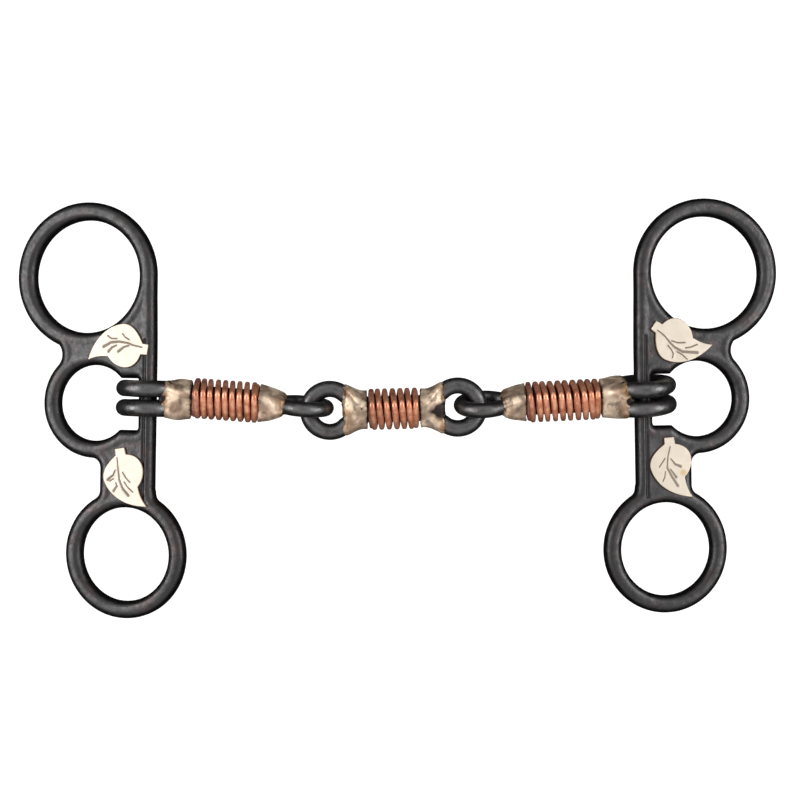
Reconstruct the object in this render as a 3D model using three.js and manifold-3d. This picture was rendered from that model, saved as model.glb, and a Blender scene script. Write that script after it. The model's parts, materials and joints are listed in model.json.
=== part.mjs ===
// A short-shank three-ring bit with loose cheeks and a three-piece mouthpiece.
//
// Units are millimetres. The bit lies on a flat surface: +X runs along the mouthpiece, +Y runs up
// the cheeks and +Z points away from the surface. The origin is the middle of the bit's footprint.
//
// Each cheek is one forging: three rings, the web between them and a straight post on the
// mouthpiece side. Each arm of the mouthpiece has two stacked loops that turn on a post, a bar
// wound with copper wire, and an eye. The dogbone in the middle links the two eyes.

import * as THREE from 'three';
import { mergeVertices } from 'three/addons/utils/BufferGeometryUtils.js';
import Module from 'manifold-3d';

const wasm = await Module();
wasm.setup();

// ---------- driving dimensions ----------

// A cheek in its own plane: u runs outward from the post's inner edge, v runs up from the middle
// of the slot that the loops sit in. The rings' radii are those of their rods' centre lines.
const CHEEK_ROD_RADIUS = 2.3;
const UPPER_RING = { u: 19.8, v: 33.5, radius: 17.2 };
const MIDDLE_RING = { u: 17.1, v: 0, radius: 12.3 };
const LOWER_RING = { u: 7.8, v: -39.75, radius: 14.6 };
const POST_AXIS_U = 2.35;
const POST_BOTTOM_V = -26;
const SLOT_HALF_HEIGHT = 6.95;
const SLOT_END_U = 10.2;
const WEB_HALF_THICKNESS = 2.15;
const VALLEY_FILLET_RADIUS = 4;
const WAIST_FILLET_RADIUS = 2.6;
const WAIST_U = 15.2;
const POST_FILLET_RADIUS = 3;

// Leaf overlays. A leaf's outline is given about its middle with its stem tab up.
const LEAF_THICKNESS = 0.6;
const LEAF_TAB = { topLeft: [-1.9, 6.6], footLeft: [-1.8, 4.9], footRight: [1.2, 5], topRight: [0.9, 6.8] };
const LEAF_SIDE = [-5.6, -1.8];
const LEAF_TIP = [6, -9.3];
const LEAF_NOTCH = [3.8, -3.9];
const LEAF_CURVE_STEPS = 8;

// The gap between pieces that are joined or turned together
const FIT_GAP = 0.3;

// Mouthpiece
const LOOP_ROD_RADIUS = 2.2;
const LOOP_RADIUS = 6.7;
const LOOP_OFFSET = 2.55;
const EYE_ROD_RADIUS = 2.1;
const EYE_RADIUS = 5.84;
const CORE_SIDE = 4.76;
const CORE_CHAMFER = 0.5;
const CORE_GRIP = 1.2;
const WIRE_RADIUS = 0.9;
const WIRE_PATH_HALF_SIDE = 3.6;
const BRAZE_HALF_SIDE = 4.6;
const BRAZE_START_HALF_HEIGHT = 0.5;
const BRAZE_STRAIGHT = 1.2;
const TAIL_ANGLE = THREE.MathUtils.degToRad(50);
const TAIL_LENGTH = 2.2;

// Where the pieces lie at rest. Every bar is given by the middles of its loops, winding and eye.
const LOOPS_Z = LOOP_RADIUS + LOOP_ROD_RADIUS;
const EYES_Z = EYE_RADIUS + EYE_ROD_RADIUS;
const DOGBONE_Z = 7.6;
const WINDING_Z = 8.43;

const LEFT = {
  name: 'left',
  side: -1,
  post: new THREE.Vector3(-66.4, -1, 10.6),
  tilt: 14,
  lean: 0.94,
  loops: new THREE.Vector3(-66.06, 0.45, LOOPS_Z),
  loopRoll: 1,
  winding: new THREE.Vector3(-46.1, -0.08, WINDING_Z),
  windingLength: 17.5,
  turns: 9.25,
  barRoll: 18,
  eye: new THREE.Vector3(-25.38, -1.66, EYES_Z),
  eyeRoll: 8,
  leaves: {
    upper: { u: 8.4, v: 15.1, turn: -102.5 },
    lower: { u: 7.75, v: -18.35, turn: 6 },
  },
};

const RIGHT = {
  name: 'right',
  side: 1,
  post: new THREE.Vector3(64.4, 0.2, 7.95),
  tilt: 9.3,
  lean: 0.93,
  loops: new THREE.Vector3(64.07, 1.19, LOOPS_Z),
  loopRoll: 9.5,
  winding: new THREE.Vector3(43.1, -0.13, WINDING_Z),
  windingLength: 19.6,
  turns: 10,
  barRoll: 20,
  eye: new THREE.Vector3(22.07, -1.12, EYES_Z),
  eyeRoll: 16,
  leaves: {
    upper: { u: 10.05, v: 15.65, turn: 50 },
    lower: { u: 8.85, v: -16.8, turn: 0 },
  },
};

const DOGBONE = {
  middle: new THREE.Vector3(-1.655, -2.3, DOGBONE_Z),
  slope: 1.52,
  ringDistance: 16.94,
  windingLength: 13.75,
  turns: 7,
  barRoll: 26,
};

// Fineness of the faceted shapes
const SECTION_SIDES = 8;
const RING_SEGMENTS = 40;
const DISC_SEGMENTS = 32;
const HAIRPIN_STEPS = 24;
const HAIRPIN_POINTS = 12;
const POCKET_SIDES = 16;
const WIRE_SIDES = 6;
const WIRE_STEPS_PER_TURN = 12;

// ---------- materials ----------

const IRON = { color: 0x2b2a2b, roughness: 0.45, metalness: 0.7 };
const COPPER = { color: 0xc87850, roughness: 0.35, metalness: 0.9 };
const BRAZE = { color: 0xb7a07c, roughness: 0.5, metalness: 0.8 };
const GERMAN_SILVER = { color: 0xe9dfce, roughness: 0.35, metalness: 0.6 };

// ---------- solids ----------

function toSolid(geometry) {
  const bare = geometry.clone();
  bare.deleteAttribute('normal');
  bare.deleteAttribute('uv');
  const merged = mergeVertices(bare, 1e-4);
  return new wasm.Manifold(new wasm.Mesh({
    numProp: 3,
    vertProperties: merged.attributes.position.array,
    triVerts: Uint32Array.from(merged.index.array),
  }));
}

function toGeometry(solid) {
  const mesh = solid.getMesh();
  const geometry = new THREE.BufferGeometry();
  geometry.setAttribute('position', new THREE.BufferAttribute(mesh.vertProperties, 3));
  geometry.setIndex(new THREE.BufferAttribute(mesh.triVerts, 1));
  geometry.computeVertexNormals();
  return geometry;
}

function namedMesh(name, geometry, look) {
  const mesh = new THREE.Mesh(geometry, new THREE.MeshStandardMaterial(look));
  mesh.name = name;
  return mesh;
}

function polygonShape(points) {
  return new THREE.Shape(points.map(([x, y]) => new THREE.Vector2(x, y)));
}

// A regular polygon whose flats, not its corners, face the axes
function regularShape(radius, sides) {
  const points = [];
  for (let i = 0; i < sides; i += 1) {
    const angle = ((i + 0.5) * 2 * Math.PI) / sides;
    points.push([radius * Math.cos(angle), radius * Math.sin(angle)]);
  }
  return polygonShape(points);
}

// A flat plate of the given outline, centred on z = 0
function plateGeometry(points, halfThickness) {
  const geometry = new THREE.ExtrudeGeometry(polygonShape(points), {
    depth: 2 * halfThickness,
    bevelEnabled: false,
  });
  geometry.translate(0, 0, -halfThickness);
  return geometry;
}

// ---------- cheeks ----------

// A cheek's u and v as x and y about its post
function onCheek(side, u, v) {
  return [side * (u - POST_AXIS_U), v];
}

function cheekPlate(side, outline) {
  const points = outline.map(([u, v]) => onCheek(side, u, v));
  return toSolid(plateGeometry(points, WEB_HALF_THICKNESS));
}

// A ring whose facets lie square to u and v where they cross its middle
function cheekRing(side, ring) {
  const corner = CHEEK_ROD_RADIUS / Math.cos(Math.PI / SECTION_SIDES);
  const profile = [];
  for (let i = 0; i <= SECTION_SIDES; i += 1) {
    const angle = (((i % SECTION_SIDES) + 0.5) * 2 * Math.PI) / SECTION_SIDES;
    profile.push(new THREE.Vector2(ring.radius + corner * Math.cos(angle), corner * Math.sin(angle)));
  }
  const geometry = new THREE.LatheGeometry(profile, RING_SEGMENTS, Math.PI / RING_SEGMENTS);
  geometry.rotateX(Math.PI / 2);
  geometry.translate(...onCheek(side, ring.u, ring.v), 0);
  return toSolid(geometry);
}

// A disc that cuts right through a cheek
function cheekDisc(side, u, v, radius) {
  const depth = 4 * CHEEK_ROD_RADIUS;
  const geometry = new THREE.CylinderGeometry(radius, radius, depth, DISC_SEGMENTS);
  geometry.rotateX(Math.PI / 2);
  geometry.translate(...onCheek(side, u, v), 0);
  return toSolid(geometry);
}

// A box that cuts right through a cheek
function cheekBox(side, lowU, highU, lowV, highV) {
  const geometry = new THREE.BoxGeometry(highU - lowU, highV - lowV, 4 * CHEEK_ROD_RADIUS);
  geometry.translate(...onCheek(side, (lowU + highU) / 2, (lowV + highV) / 2), 0);
  return toSolid(geometry);
}

// The middle of a fillet that touches two rings' outsides on their outer side
function filletBetween(first, second, radius) {
  const reachA = first.radius + CHEEK_ROD_RADIUS + radius;
  const reachB = second.radius + CHEEK_ROD_RADIUS + radius;
  const du = second.u - first.u;
  const dv = second.v - first.v;
  const gap = Math.hypot(du, dv);
  const along = (reachA ** 2 - reachB ** 2 + gap ** 2) / (2 * gap);
  const across = Math.sqrt(reachA ** 2 - along ** 2);
  return [
    first.u + (along * du - across * dv) / gap,
    first.v + (along * dv + across * du) / gap,
  ];
}

// How far above or below a ring's middle a fillet beside the line at u touches both
function filletHeight(ring, filletU, radius) {
  return Math.sqrt((ring.radius + CHEEK_ROD_RADIUS + radius) ** 2 - (filletU - ring.u) ** 2);
}

function upperWeb(side) {
  const valley = filletBetween(UPPER_RING, MIDDLE_RING, VALLEY_FILLET_RADIUS);
  const web = cheekPlate(side, [
    [POST_AXIS_U, SLOT_HALF_HEIGHT],
    [SLOT_END_U, SLOT_HALF_HEIGHT],
    [MIDDLE_RING.u, MIDDLE_RING.v],
    valley,
    [UPPER_RING.u, UPPER_RING.v],
    [POST_AXIS_U, UPPER_RING.v],
  ]);
  return web
    .subtract(cheekDisc(side, ...valley, VALLEY_FILLET_RADIUS))
    .subtract(cheekDisc(side, UPPER_RING.u, UPPER_RING.v, UPPER_RING.radius))
    .subtract(cheekDisc(side, MIDDLE_RING.u, MIDDLE_RING.v, MIDDLE_RING.radius));
}

function lowerWeb(side) {
  const waistFilletU = WAIST_U + WAIST_FILLET_RADIUS;
  const highV = MIDDLE_RING.v - filletHeight(MIDDLE_RING, waistFilletU, WAIST_FILLET_RADIUS);
  const lowV = LOWER_RING.v + filletHeight(LOWER_RING, waistFilletU, WAIST_FILLET_RADIUS);
  const postV = LOWER_RING.v + filletHeight(LOWER_RING, -POST_FILLET_RADIUS, POST_FILLET_RADIUS);
  const web = cheekPlate(side, [
    [POST_AXIS_U, -SLOT_HALF_HEIGHT],
    [POST_AXIS_U, postV],
    [-POST_FILLET_RADIUS, postV],
    [LOWER_RING.u, LOWER_RING.v],
    [waistFilletU, lowV],
    [waistFilletU, highV],
    [MIDDLE_RING.u, MIDDLE_RING.v],
    [SLOT_END_U, -SLOT_HALF_HEIGHT],
  ]);
  return web
    .subtract(cheekDisc(side, -POST_FILLET_RADIUS, postV, POST_FILLET_RADIUS))
    .subtract(cheekDisc(side, waistFilletU, highV, WAIST_FILLET_RADIUS))
    .subtract(cheekDisc(side, waistFilletU, lowV, WAIST_FILLET_RADIUS))
    .subtract(cheekBox(side, WAIST_U, waistFilletU + WAIST_FILLET_RADIUS, lowV, highV))
    .subtract(cheekDisc(side, MIDDLE_RING.u, MIDDLE_RING.v, MIDDLE_RING.radius))
    .subtract(cheekDisc(side, LOWER_RING.u, LOWER_RING.v, LOWER_RING.radius));
}

function post() {
  const length = UPPER_RING.v - POST_BOTTOM_V;
  const corner = CHEEK_ROD_RADIUS / Math.cos(Math.PI / SECTION_SIDES);
  const geometry = new THREE.CylinderGeometry(corner, corner, length, SECTION_SIDES);
  geometry.rotateY(Math.PI / SECTION_SIDES);
  geometry.translate(0, POST_BOTTOM_V + length / 2, 0);
  return toSolid(geometry);
}

function cheekGeometry(side) {
  const slot = cheekBox(side, 0, SLOT_END_U, -SLOT_HALF_HEIGHT, SLOT_HALF_HEIGHT);
  const forging = cheekRing(side, MIDDLE_RING)
    .subtract(slot)
    .add(cheekRing(side, UPPER_RING))
    .add(cheekRing(side, LOWER_RING))
    .add(upperWeb(side))
    .add(lowerWeb(side))
    .add(post());
  return toGeometry(forging);
}

// A rounded leaf with a square stem tab at the top and a tip curled to one side
function leafGeometry() {
  const outline = new THREE.Shape();
  outline.moveTo(...LEAF_TAB.topLeft);
  outline.lineTo(...LEAF_TAB.footLeft);
  outline.bezierCurveTo(-4.6, 2.9, -6.4, 0.6, ...LEAF_SIDE);
  outline.bezierCurveTo(-4.4, -5.6, -0.4, -8.9, ...LEAF_TIP);
  outline.quadraticCurveTo(3.9, -6.6, ...LEAF_NOTCH);
  outline.bezierCurveTo(6.6, -1.2, 6.6, 4.4, ...LEAF_TAB.footRight);
  outline.lineTo(...LEAF_TAB.topRight);
  return new THREE.ExtrudeGeometry(outline, {
    depth: LEAF_THICKNESS,
    bevelEnabled: false,
    curveSegments: LEAF_CURVE_STEPS,
  });
}

function cheekGroup(spec) {
  const cheek = new THREE.Group();
  cheek.add(namedMesh(`${spec.name}_cheek`, cheekGeometry(spec.side), IRON));
  for (const [place, leaf] of Object.entries(spec.leaves)) {
    const mesh = namedMesh(`${spec.name}_${place}_leaf`, leafGeometry(), GERMAN_SILVER);
    mesh.position.set(...onCheek(spec.side, leaf.u, leaf.v), CHEEK_ROD_RADIUS + FIT_GAP);
    mesh.rotation.z = THREE.MathUtils.degToRad(leaf.turn);
    cheek.add(mesh);
  }
  cheek.position.copy(spec.post);
  cheek.rotation.order = 'ZYX';
  cheek.rotation.y = spec.side * THREE.MathUtils.degToRad(spec.tilt);
  cheek.rotation.z = spec.side * THREE.MathUtils.degToRad(spec.lean);
  return cheek;
}

// ---------- mouthpiece ----------

// A rod bent to a ring, whose two ends turn in toward the bar. The ring's middle is the origin,
// and toBar is 1 or -1, the way along X to the bar. It lies in the XZ plane.
function hairpinGeometry(ringRadius, rodRadius, toBar) {
  const tailA = ringRadius * Math.cos(TAIL_ANGLE) + TAIL_LENGTH * Math.sin(TAIL_ANGLE);
  const tailZ = ringRadius * Math.sin(TAIL_ANGLE) - TAIL_LENGTH * Math.cos(TAIL_ANGLE);
  const points = [new THREE.Vector3(toBar * tailA, 0, tailZ)];
  for (let i = 0; i <= HAIRPIN_POINTS; i += 1) {
    const angle = TAIL_ANGLE + (i / HAIRPIN_POINTS) * 2 * (Math.PI - TAIL_ANGLE);
    points.push(new THREE.Vector3(
      toBar * ringRadius * Math.cos(angle),
      0,
      ringRadius * Math.sin(angle),
    ));
  }
  points.push(new THREE.Vector3(toBar * tailA, 0, -tailZ));
  return new THREE.ExtrudeGeometry(regularShape(rodRadius, SECTION_SIDES), {
    steps: HAIRPIN_STEPS,
    extrudePath: new THREE.CatmullRomCurve3(points),
  });
}

// A wire wound round a square bar with rounded corners, which lies along X
class WindingCurve extends THREE.Curve {
  constructor(length, turns) {
    super();
    this.length = length;
    this.turns = turns;
  }

  getPoint(t, target = new THREE.Vector3()) {
    const angle = t * this.turns * 2 * Math.PI;
    const y = Math.cos(angle);
    const z = Math.sin(angle);
    const reach = WIRE_PATH_HALF_SIDE / (y ** 4 + z ** 4) ** 0.25;
    return target.set((t - 0.5) * this.length, reach * y, reach * z);
  }
}

function windingGeometry(length, turns) {
  const curve = new WindingCurve(length - 2 * WIRE_RADIUS, turns);
  return new THREE.ExtrudeGeometry(regularShape(WIRE_RADIUS, WIRE_SIDES), {
    steps: Math.round(turns * WIRE_STEPS_PER_TURN),
    extrudePath: curve,
  });
}

// The square bar inside a winding, which reaches a little way into the braze at each end
function coreGeometry(windingLength) {
  const half = CORE_SIDE / 2;
  const flat = half - CORE_CHAMFER;
  const length = windingLength + 2 * CORE_GRIP;
  const section = polygonShape([
    [half, -flat], [half, flat], [flat, half], [-flat, half],
    [-half, flat], [-half, -flat], [-flat, -half], [flat, -half],
  ]);
  const geometry = new THREE.ExtrudeGeometry(section, { depth: length, bevelEnabled: false });
  geometry.translate(0, 0, -length / 2);
  geometry.rotateY(Math.PI / 2);
  return geometry;
}

// A braze's outline in its ring's plane. It fills the fork between the ring's tails, keeps clear of
// their rods and ends at the winding; x runs from the ring's middle toward the bar.
function forkOutline(ringRadius, rodRadius, far) {
  const sine = Math.sin(TAIL_ANGLE);
  const cosine = Math.cos(TAIL_ANGLE);
  const start = ringRadius - rodRadius + FIT_GAP;
  const endX = ringRadius * cosine + (TAIL_LENGTH + FIT_GAP) * sine;
  const endZ = ringRadius * sine - (TAIL_LENGTH + FIT_GAP) * cosine;
  const innerX = endX - (rodRadius + FIT_GAP) * cosine;
  const innerZ = endZ - (rodRadius + FIT_GAP) * sine;
  const topX = endX + ((BRAZE_HALF_SIDE - endZ) * cosine) / sine;
  const startZ = Math.max(innerZ + ((innerX - start) * cosine) / sine, BRAZE_START_HALF_HEIGHT);
  const upperHalf = [
    [start, startZ],
    [innerX, innerZ],
    [topX, BRAZE_HALF_SIDE],
    [far, BRAZE_HALF_SIDE],
  ];
  return upperHalf.concat(upperHalf.map(([x, z]) => [x, -z]).reverse());
}

// A braze's outline across its ring's plane, which widens from the ring's rods to the bar
function flareOutline(start, far, startHalfWidth) {
  const upperHalf = [
    [start, startHalfWidth],
    [start + BRAZE_STRAIGHT, startHalfWidth],
    [far - BRAZE_STRAIGHT, BRAZE_HALF_SIDE],
    [far, BRAZE_HALF_SIDE],
  ];
  return upperHalf.concat(upperHalf.map(([x, y]) => [x, -y]).reverse());
}

// The braze between a ring's two tails and the end of a winding, with a pocket for the bar. The
// origin is the ring's middle and the ring lies in the XZ plane. far is the distance to the
// winding, and toBar is 1 or -1, the way along X to the bar.
function brazeGeometry(ringRadius, rodRadius, far, startHalfWidth, toBar) {
  const towardBar = ([x, h]) => [toBar * x, h];
  const fork = plateGeometry(forkOutline(ringRadius, rodRadius, far).map(towardBar), BRAZE_HALF_SIDE);
  fork.rotateX(Math.PI / 2);
  const start = ringRadius - rodRadius;
  const flare = plateGeometry(flareOutline(start, far, startHalfWidth).map(towardBar), BRAZE_HALF_SIDE);
  const pocketRadius = Math.hypot(CORE_SIDE / 2, CORE_SIDE / 2 - CORE_CHAMFER) + FIT_GAP;
  const pocket = new THREE.CylinderGeometry(pocketRadius, pocketRadius, 2 * CORE_GRIP, POCKET_SIDES);
  pocket.rotateZ(Math.PI / 2);
  pocket.translate(toBar * far, 0, 0);
  return toGeometry(toSolid(fork).intersect(toSolid(flare)).subtract(toSolid(pocket)));
}

// A frame at one point of a bar whose X axis runs along the bar, toward +X
function barFrame(at, toward) {
  const frame = new THREE.Group();
  const direction = toward.clone().sub(at).normalize();
  direction.multiplyScalar(Math.sign(direction.x));
  frame.position.copy(at);
  frame.quaternion.setFromUnitVectors(new THREE.Vector3(1, 0, 0), direction);
  return frame;
}

function rolled(mesh, degrees, x = 0, y = 0) {
  mesh.position.set(x, y, 0);
  mesh.rotation.x = THREE.MathUtils.degToRad(degrees);
  return mesh;
}

function loopsGroup(spec) {
  const frame = barFrame(spec.loops, spec.winding);
  const roll = new THREE.Group();
  roll.rotation.x = THREE.MathUtils.degToRad(spec.loopRoll);
  for (const [place, offset] of [['upper', LOOP_OFFSET], ['lower', -LOOP_OFFSET]]) {
    const geometry = hairpinGeometry(LOOP_RADIUS, LOOP_ROD_RADIUS, -spec.side);
    const loop = namedMesh(`${spec.name}_arm_${place}_loop`, geometry, IRON);
    loop.position.y = offset;
    roll.add(loop);
  }
  frame.add(roll);
  return frame;
}

function armGroup(spec) {
  const { name, side } = spec;
  const toEye = -side;
  const frame = barFrame(spec.winding, spec.eye);
  const windingEnd = spec.windingLength / 2 + FIT_GAP;
  const eyeDistance = spec.winding.distanceTo(spec.eye);
  const loopDistance = spec.winding.distanceTo(spec.loops);

  const core = namedMesh(`${name}_arm_core`, coreGeometry(spec.windingLength), IRON);
  frame.add(rolled(core, spec.barRoll));

  const wire = namedMesh(
    `${name}_arm_copper_wire`,
    windingGeometry(spec.windingLength, spec.turns),
    COPPER,
  );
  frame.add(rolled(wire, spec.barRoll));

  const eyeShape = hairpinGeometry(EYE_RADIUS, EYE_ROD_RADIUS, side);
  const eye = namedMesh(`${name}_arm_eye`, eyeShape, IRON);
  frame.add(rolled(eye, spec.eyeRoll, toEye * eyeDistance));

  const innerShape = brazeGeometry(
    EYE_RADIUS, EYE_ROD_RADIUS, eyeDistance - windingEnd, EYE_ROD_RADIUS, side,
  );
  const innerBraze = namedMesh(`${name}_arm_inner_braze`, innerShape, BRAZE);
  frame.add(rolled(innerBraze, spec.eyeRoll, toEye * eyeDistance));

  const outerShape = brazeGeometry(
    LOOP_RADIUS, LOOP_ROD_RADIUS, loopDistance - windingEnd, BRAZE_HALF_SIDE, toEye,
  );
  const outerBraze = namedMesh(`${name}_arm_outer_braze`, outerShape, BRAZE);
  frame.add(rolled(outerBraze, spec.loopRoll, -toEye * loopDistance));
  return frame;
}

function dogboneGroup() {
  const frame = new THREE.Group();
  frame.position.copy(DOGBONE.middle);
  frame.rotation.z = THREE.MathUtils.degToRad(DOGBONE.slope);

  const core = namedMesh('dogbone_core', coreGeometry(DOGBONE.windingLength), IRON);
  frame.add(rolled(core, DOGBONE.barRoll));

  const wire = namedMesh(
    'dogbone_copper_wire',
    windingGeometry(DOGBONE.windingLength, DOGBONE.turns),
    COPPER,
  );
  frame.add(rolled(wire, DOGBONE.barRoll));

  // The rings lie flat, a quarter turn from the eyes they link
  const far = DOGBONE.ringDistance - DOGBONE.windingLength / 2 - FIT_GAP;
  for (const [name, side] of [['left', -1], ['right', 1]]) {
    const eyeShape = hairpinGeometry(EYE_RADIUS, EYE_ROD_RADIUS, -side);
    const eye = namedMesh(`dogbone_${name}_eye`, eyeShape, IRON);
    frame.add(rolled(eye, 90, side * DOGBONE.ringDistance));
    const brazeShape = brazeGeometry(EYE_RADIUS, EYE_ROD_RADIUS, far, EYE_ROD_RADIUS, -side);
    const braze = namedMesh(`dogbone_${name}_braze`, brazeShape, BRAZE);
    frame.add(rolled(braze, 90, side * DOGBONE.ringDistance));
  }
  return frame;
}

// ---------- assembly ----------

const bit = new THREE.Group();
bit.add(dogboneGroup());
for (const spec of [LEFT, RIGHT]) {
  bit.add(cheekGroup(spec));
  bit.add(loopsGroup(spec));
  bit.add(armGroup(spec));
}

// Put the origin at the middle of the footprint, on the surface that the bit lies on
bit.updateMatrixWorld(true);
const box = new THREE.Box3().setFromObject(bit, true);
const middle = box.getCenter(new THREE.Vector3());
bit.position.set(-middle.x, -middle.y, -box.min.z);

export default bit;
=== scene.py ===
"""A loose-cheek curb bit with a jointed, copper-wrapped mouthpiece, over a pale floor.

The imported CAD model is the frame. Each of its nodes is modelled again here in fine mesh, in the frame that
its own joint, mounts or vertices give, and rides on the same body. Sizes in the shape code are millimetres.
"""

import json
import math

import bpy
import numpy as np
from mathutils import Matrix, Quaternion, Vector, kdtree


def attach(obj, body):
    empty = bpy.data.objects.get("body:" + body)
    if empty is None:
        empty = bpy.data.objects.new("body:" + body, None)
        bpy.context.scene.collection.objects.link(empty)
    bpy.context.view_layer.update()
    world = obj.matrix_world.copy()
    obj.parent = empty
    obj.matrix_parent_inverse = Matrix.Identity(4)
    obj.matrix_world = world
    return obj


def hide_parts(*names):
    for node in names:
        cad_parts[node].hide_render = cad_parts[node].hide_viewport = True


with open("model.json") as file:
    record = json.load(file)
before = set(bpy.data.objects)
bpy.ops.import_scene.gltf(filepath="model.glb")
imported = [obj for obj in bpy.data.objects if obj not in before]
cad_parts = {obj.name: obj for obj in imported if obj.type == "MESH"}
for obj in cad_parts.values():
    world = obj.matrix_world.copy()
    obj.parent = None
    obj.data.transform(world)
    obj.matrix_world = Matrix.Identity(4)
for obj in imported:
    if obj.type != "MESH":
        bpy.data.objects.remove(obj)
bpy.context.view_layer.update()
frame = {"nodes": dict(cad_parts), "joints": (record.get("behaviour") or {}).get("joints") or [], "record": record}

# ---------- sizes, in millimetres ----------

MM = 0.001

# A cheek in its own plane: u runs outward from the post's inner edge and v runs up from the slot's middle
CHEEK_ROD_RADIUS = 2.3
UPPER_RING = (19.8, 33.5, 17.2)
UPPER_SWELL = 0.25
MIDDLE_RING = (17.1, 0.0, 12.3)
LOWER_RING = (7.8, -39.75, 14.6)
POST_AXIS_U = 2.35
POST_WIDTH = 4.6
POST_LEAN = 0.3
POST_LEAN_FROM = 12.0
POST_BOTTOM_V = -26.0
SLOT_TOP_V = 6.65
SLOT_BOTTOM_V = -6.95
SLOT_END_U = 10.2
WAIST_U = 15.2
VALLEY_FILLET = 4.0
WAIST_FILLET = 2.6
POST_FILLET = 3.0
SLOT_CORNER = 0.8
EDGE_ROUND = 2.05
CREASE_U = 2.5
CREASE_RADIUS = 0.42
CREASE_RISE = 0.06
CREASE_SOFTNESS = 0.2
CREASE_SHADE = (0.75, 0.2)
CREASE_TOP_V = 17.0
WEB_RECESS = 0.16
WEB_SLOPE = (2.2, 3.6)
DENT_DEPTH = 0.08
DENT_SIZE = 3.5
# Painted shade along the cheek's rounded rims and hole walls: none 1.1 mm in from the outline, full 0.2 mm in
WALL_SHADE = (1.1, 0.2)

# Mouthpiece
LOOP_RADIUS = 6.7
LOOP_ROD = 2.2
LOOP_OFFSET = 2.55
EYE_RADIUS = 5.84
EYE_ROD = 2.1
DOGBONE_RADIUS = 5.7
DOGBONE_ROD = 2.24
TAIL_ANGLE = math.radians(50)
TAIL_SPREAD = 2.25
TAIL_PULL = 0.42
ROD_SIDES = 28
ROD_SHRINK = 0.04
BAR_HALF_SIDE = 4.15
WIRE_PATH_HALF_SIDE = 3.85
BAR_SQUARENESS = 5
WIRE_THICKNESS = 0.9
WIRE_HALF_WIDTH = 0.455
WIRE_FLAT_LOSS = 0.07
WIRE_CORNER_LOSS = 0.06
WIRE_OVERRUN = 0.1
WIRE_SIDES = 16
WIRE_STEPS_PER_TURN = 72
TURN_SHIFT = 0.08
BEAD_POWER = 0.65
CROWN_POWER = 0.8
END_DIVE = 0.6
CORE_HALF_SIDE = 2.85
CORE_SQUARENESS = 6
CORE_OVERRUN = 2.2

# How far the rods' tails run on inside a braze, and where each braze starts from its ring's middle
TAIL_BURIED = 1.6
OUTER_BRAZE_START = 4.1
INNER_BRAZE_START = 4.7
DOGBONE_BRAZE_START = 3.35

# A braze's coat, pits and stains
COAT = 0.34
COAT_RUN = 1.1
SWELL_POWER = 0.85
BLEND_END = 0.9
TONGUE_WIDTH = 0.9
RING_END_CORNER = 0.95
WIRE_END_CORNER = 1.8
END_SOFTNESS = 0.35
HOLE_SOFTNESS = 0.25
PIT_SOFTNESS = 0.12
PIT_COUNT = 9
PIT_RADIUS = (0.2, 0.42)
PIT_SINK = 0.15
RING_STAIN = 3.6
WIRE_STAIN = 0.7
BURN_EDGE = (1.0, 0.3)
BURN_WIDTH = 1.4
SCORCH_REACH = 4.2
SCORCH_WIDTH = 2.8
SCORCH_Z = -0.8

# Unevenness of a braze's edge at the ring, its faces and its stains, and of the wire: layers of height and size
EDGE_LAYERS = ((0.8, 1.9), (0.5, 0.7))
FACE_LAYERS = ((0.26, 3.2), (0.05, 0.9))
STAIN_LAYERS = ((1.6, 1.1),)
WIRE_LAYERS = ((0.05, 1.2),)

# The steps of the grids that the fine meshes are made on
CHEEK_STEP = 0.32
LEAF_STEP = 0.11
BRAZE_STEP = 0.19
BRAZE_ROOM = 0.8

# The grid round a cheek
CHEEK_LOW = (-9.7, -57.4)
CHEEK_HIGH = (40.6, 53.8)
CHEEK_GRID_TOP = 2.9
CONTOUR_STEP = 0.08
EDGE_STEP = 0.16
EDGE_FAR = 6.0

# The grid round a leaf
LEAF_LOW = (-6.6, -10.2, -0.3)
LEAF_HIGH = (7.1, 7.4, 0.9)

# The studio, in metres and watts
CAMERA_HEIGHT = 0.42016
CAMERA_X = 0.00073
CAMERA_Y = 0.00205
CAMERA_ANGLE = math.radians(28.84)
# The floor lies below the lowest point of every pose, so that no limit of a joint hides a piece
FLOOR_Z = -0.11
FLOOR_HALF_SIDE = 12.0
LAMP_PLACE = (0.6, 0.06, 0.45)
LAMP_SIZE = (0.5, 0.3)
LAMP_POWER = 2.4

# The sky's light: two heights in the sky and its strength at each
SKY_RISE = (0.15, 0.7, 0.03, 0.95)
SKY_TOP = (0.85, 1.0, 1.0, 0.6)

# The CAD rods have this many sides, with flats toward the tips of the rings
CAD_SECTION_SIDES = 8

SIDES = {"left": -1, "right": 1}

# Each winding's length and turns, and the roll of the square bar under it in degrees
WINDINGS = {
    "left_arm": (17.5, 9.25, 25),
    "right_arm": (19.6, 10, 27),
    "dogbone": (13.75, 7, 30),
}

# Each leaf's place on its cheek, u and v, and its turn in degrees
LEAVES = {
    "left_upper": (8.05, 15.1, -102.5),
    "left_lower": (7.75, -18.35, 6),
    "right_upper": (10.05, 15.65, 50),
    "right_lower": (8.85, -16.8, 0),
}

LEAF_HEIGHT = 0.62
LEAF_BEVEL = 0.22
LEAF_SEAT = 2.16
# Painted shade along a leaf's edge: none 0.3 mm inside its outline, full 0.05 mm inside
LEAF_RIM_SHADE = (-0.3, -0.05)
STROKE_DEPTH = 0.24
WAVE_HEIGHT = 0.06
WAVE_SIZE = 3.0
STROKE_LIP = 0.03
STROKE_LIP_WIDTH = 0.14
FINE = 0.2
BROAD = 0.42

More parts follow.
